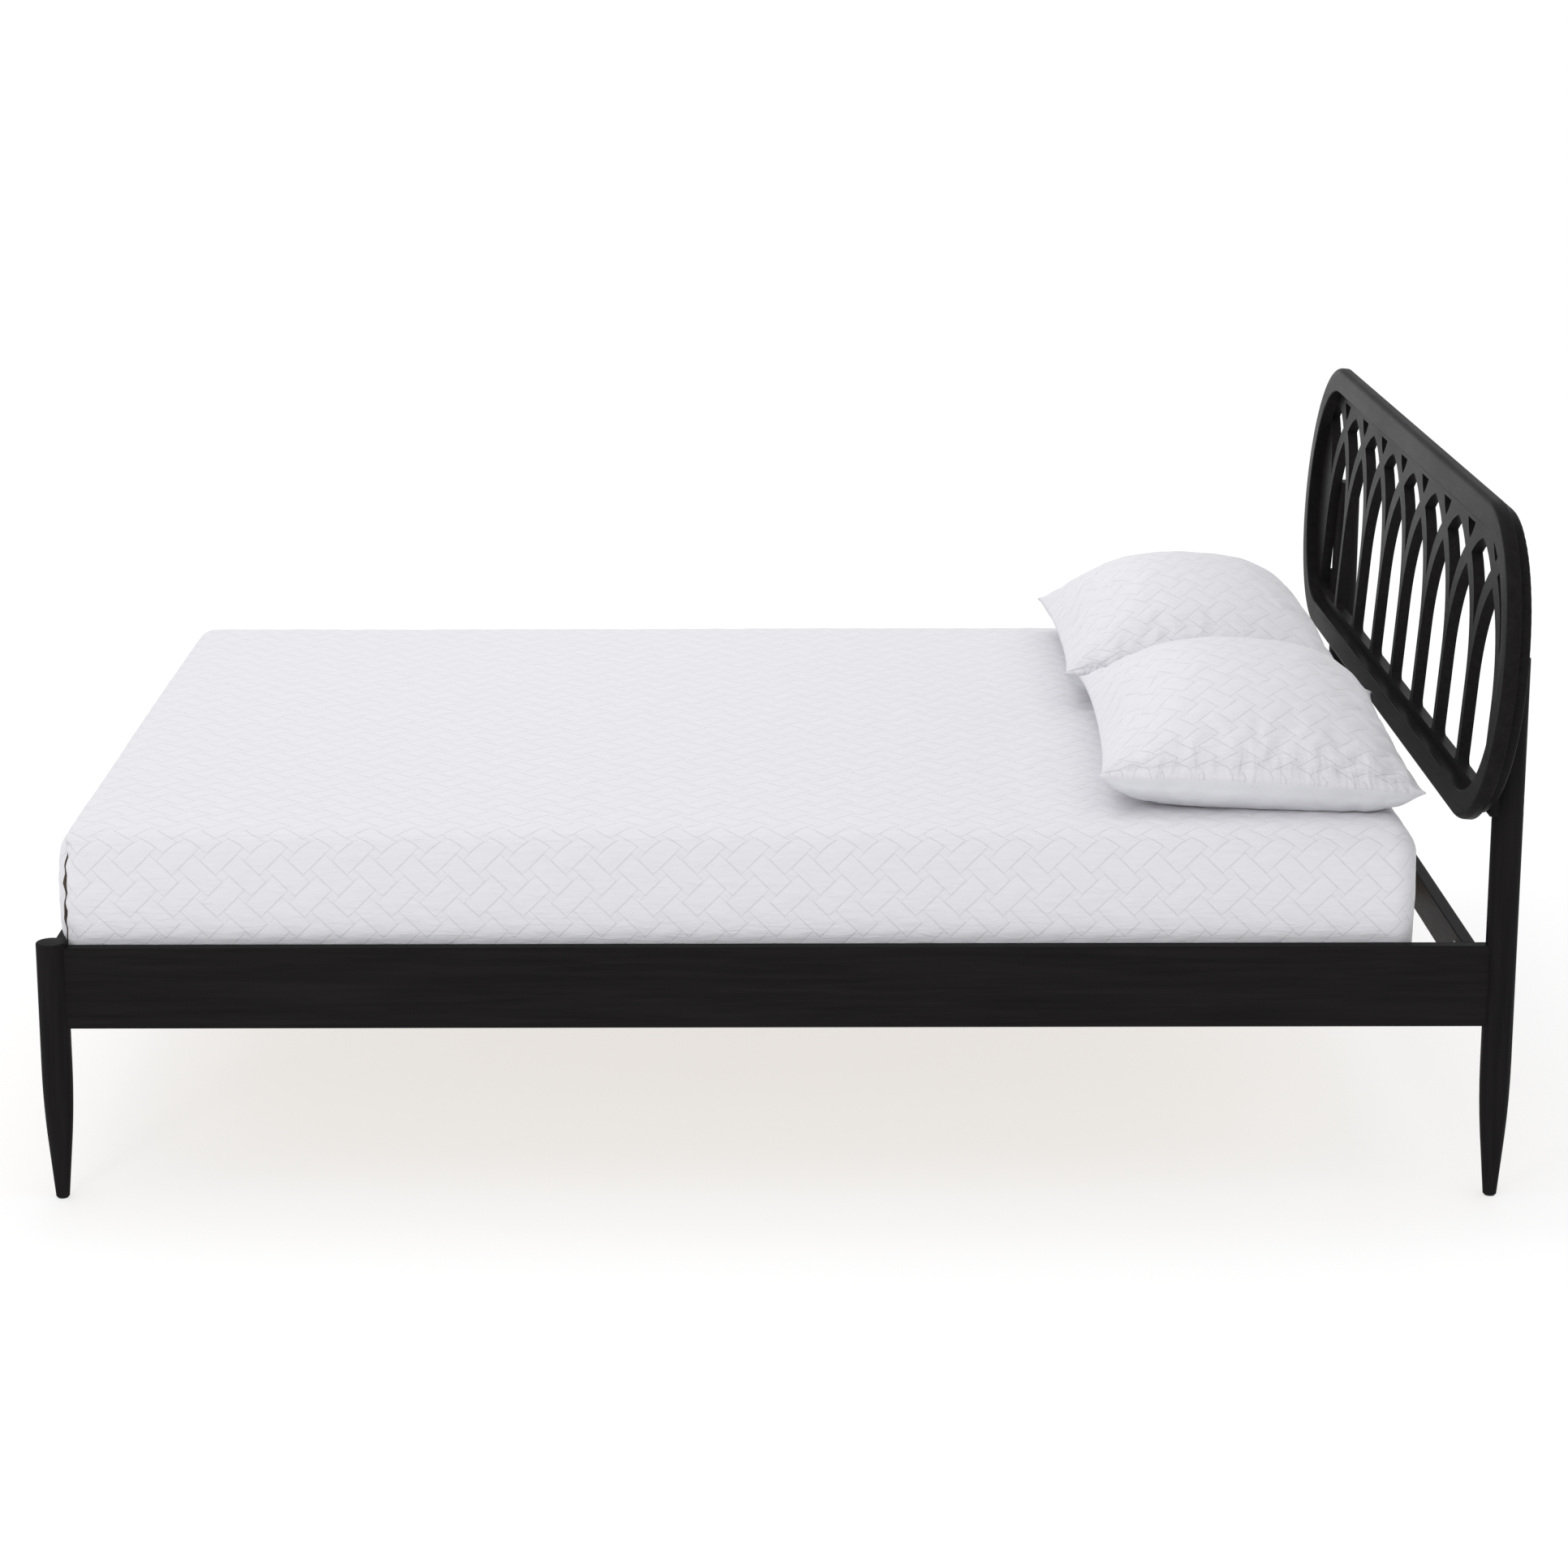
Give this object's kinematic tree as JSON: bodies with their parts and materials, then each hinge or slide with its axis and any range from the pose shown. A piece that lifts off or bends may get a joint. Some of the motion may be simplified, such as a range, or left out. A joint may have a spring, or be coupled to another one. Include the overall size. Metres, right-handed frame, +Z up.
{
  "type": "platform bed",
  "caption": "Low slatted platform bed on turned tapering legs, with a leaning pill-shaped headboard cut as interlaced pointed arches, a quilted mattress cover and pillows.",
  "frame": {"origin": "on the floor, under the middle of the overall box", "axes": "+X from the foot end to the head end, +Y to the left side as seen from the foot, +Z up"},
  "size_m": [2.244, 1.8868, 1.0711],
  "materials": {
    "black_wood": "satin",
    "slat_pine": "matte",
    "base_pine": "matte",
    "beech": "matte",
    "steel": "satin",
    "glide_nylon": "matte",
    "ticking": "matte",
    "quilt": "matte",
    "pillow_cloth": "matte"
  },
  "bodies": {
    "frame": {"beam_hanger_foot": "steel", "beam_hanger_head": "steel", "board_screws": "steel", "centre_beam": "base_pine", "foot_leg_left": "black_wood", "foot_leg_right": "black_wood", "foot_rail": "black_wood", "fretwork_board": "black_wood", "glide_foot_left": "glide_nylon", "glide_foot_right": "glide_nylon", "glide_head_left": "glide_nylon", "glide_head_right": "glide_nylon", "head_cross_rail": "black_wood", "head_post_left": "black_wood", "head_post_right": "black_wood", "head_rail_bracket_left": "steel", "head_rail_bracket_right": "steel", "headboard_bolts_left": "steel", "headboard_bolts_right": "steel", "headboard_wedge_left": "black_wood", "headboard_wedge_right": "black_wood", "ledger_screws_left": "steel", "ledger_screws_right": "steel", "rail_bolts_foot_left": "steel", "rail_bolts_foot_right": "steel", "rail_bolts_head_left": "steel", "rail_bolts_head_right": "steel", "ring_bottom_rail": "black_wood", "ring_dowels": "beech", "ring_end_left": "black_wood", "ring_end_right": "black_wood", "ring_top_rail": "black_wood", "side_rail_left": "black_wood", "side_rail_right": "black_wood", "slat_01": "slat_pine", "slat_02": "slat_pine", "slat_03": "slat_pine", "slat_04": "slat_pine", "slat_05": "slat_pine", "slat_06": "slat_pine", "slat_07": "slat_pine", "slat_08": "slat_pine", "slat_09": "slat_pine", "slat_10": "slat_pine", "slat_11": "slat_pine", "slat_12": "slat_pine", "slat_13": "slat_pine", "slat_ledger_left": "base_pine", "slat_ledger_right": "base_pine", "slat_screws_left": "steel", "slat_screws_right": "steel"},
    "mattress": {"mattress": "ticking", "coverlet": "quilt"},
    "pillow_right": {"pillow_right": "pillow_cloth"},
    "pillow_left": {"pillow_left": "pillow_cloth"}
  },
  "joints": [
    {"name": "mattress_lift", "type": "slide", "parent": "frame", "child": "mattress", "axis": [0, 0, 1], "range_m": [0, 0.35]},
    {"name": "pillow_right_lift", "type": "slide", "parent": "mattress", "child": "pillow_right", "axis": [0, 0, 1], "range_m": [0, 0.3]},
    {"name": "pillow_left_lift", "type": "slide", "parent": "mattress", "child": "pillow_left", "axis": [0, 0, 1], "range_m": [0, 0.3]}
  ]
}
